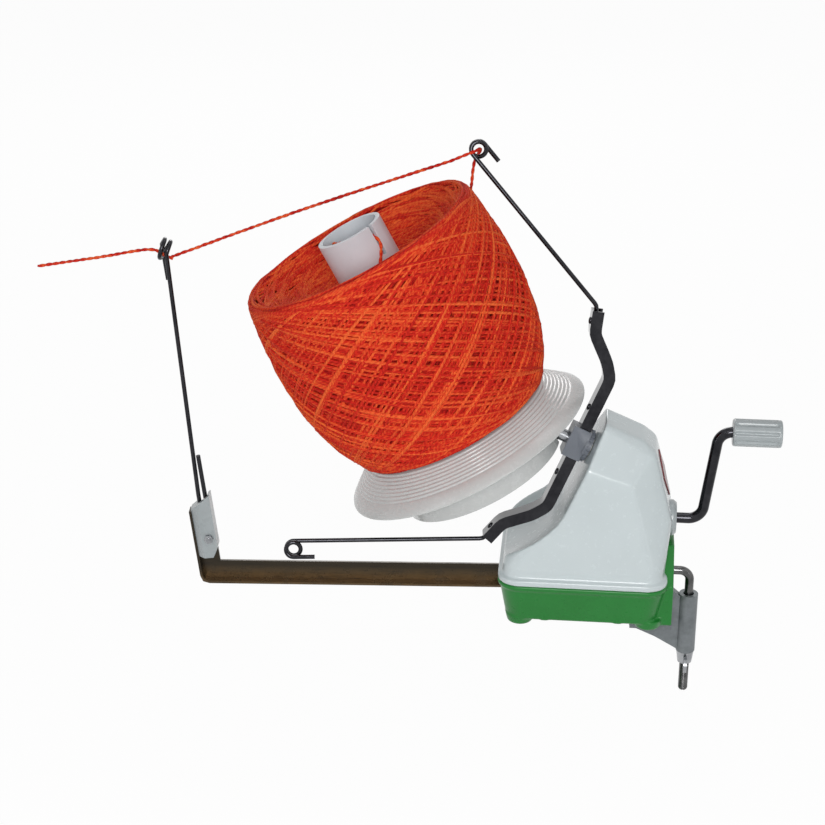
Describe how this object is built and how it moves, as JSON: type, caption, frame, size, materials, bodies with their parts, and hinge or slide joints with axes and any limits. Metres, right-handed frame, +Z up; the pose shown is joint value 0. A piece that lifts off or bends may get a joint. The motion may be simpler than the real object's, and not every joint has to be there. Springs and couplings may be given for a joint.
{
  "type": "yarn ball winder",
  "caption": "Hand-cranked yarn ball winder: bevel gears turn a wire flyer round a tilted spindle with a wound ball of yarn, with a yarn guide arm and a table clamp.",
  "frame": {"origin": "on the table top, under the middle of the base", "axes": "+X towards the crank, -Y towards the front, +Z up"},
  "size_m": [0.4426, 0.156, 0.3442],
  "materials": {
    "green_plastic": "glossy moulded",
    "grey_plastic": "glossy moulded",
    "white_plastic": "satin moulded",
    "hub_plastic": "satin moulded",
    "gear_plastic": "plain nylon",
    "frame_metal": "cast",
    "steel": "turned",
    "dark_chrome": "black chrome",
    "bronze_steel": "dark lacquer",
    "cast_grey": "satin paint",
    "badge_red": "plain lacquer",
    "yarn": "wool strand"
  },
  "bodies": {
    "stand": {"base_tray": "green_plastic", "cover": "grey_plastic", "crank_bearing": "hub_plastic", "gear_frame": "frame_metal", "support_shaft": "steel", "spindle_carrier": "white_plastic", "spindle_pin": "steel", "spindle_cap": "steel", "guide_arm": "bronze_steel", "guide_holder": "white_plastic", "guide_wire": "dark_chrome", "guide_bolt": "steel", "clamp_rod": "steel", "cover_screws": "steel", "frame_screws": "steel", "arm_screws": "steel", "side_badge": "badge_red", "nose_bush": "hub_plastic", "yarn_supply": "yarn"},
    "flyer": {"flyer_sleeve": "steel", "flyer_pinion": "gear_plastic", "feed_pinion": "gear_plastic", "flyer_hub": "hub_plastic", "flyer_arm": "dark_chrome", "flyer_wire_upper": "dark_chrome", "flyer_wire_lower": "dark_chrome", "flyer_rivets": "dark_chrome", "yarn_lead": "yarn", "yarn_laydown": "yarn"},
    "crank": {"crank_rod": "dark_chrome", "drive_gear": "gear_plastic", "crank_collar": "steel"},
    "grip": {"crank_grip": "white_plastic"},
    "bobbin": {"bobbin_flange": "white_plastic", "core_tube": "white_plastic", "bobbin_gear": "gear_plastic", "yarn_package": "yarn"},
    "jaw": {"clamp_jaw": "cast_grey"},
    "nut": {"wing_nut": "steel"}
  },
  "joints": [
    {"name": "flyer_spin", "type": "hinge", "parent": "stand", "child": "flyer", "pos_m": [-0.006, 0, 0.107], "axis": [-0.9135, 0, 0.4067], "continuous": true, "deforming": ["yarn_laydown"]},
    {"name": "crank_turn", "type": "hinge", "parent": "stand", "child": "crank", "pos_m": [0, 0, 0.059], "axis": [-1, 0, 0], "continuous": true},
    {"name": "bobbin_spin", "type": "hinge", "parent": "stand", "child": "bobbin", "pos_m": [-0.09553, 0, 0.14686], "axis": [-0.4695, 0, 0.8829], "continuous": true},
    {"name": "grip_spin", "type": "hinge", "parent": "crank", "child": "grip", "pos_m": [0.0995, 0, 0.117], "axis": [1, 0, 0], "continuous": true},
    {"name": "jaw_slide", "type": "slide", "parent": "stand", "child": "jaw", "axis": [0, 0, 1], "range_m": [-0.014, 0.008]},
    {"name": "nut_spin", "type": "hinge", "parent": "jaw", "child": "nut", "pos_m": [0.0655, 0, -0.036], "axis": [0, 0, 1], "range_deg": [-5041, 2881]}
  ],
  "couplings": [
    {"joint": "crank_turn", "follows": "flyer_spin", "ratio": -0.33333},
    {"joint": "bobbin_spin", "follows": "flyer_spin", "ratio": -0.16393},
    {"joint": "nut_spin", "follows": "jaw_slide", "rad_per_m": 6283.2}
  ]
}
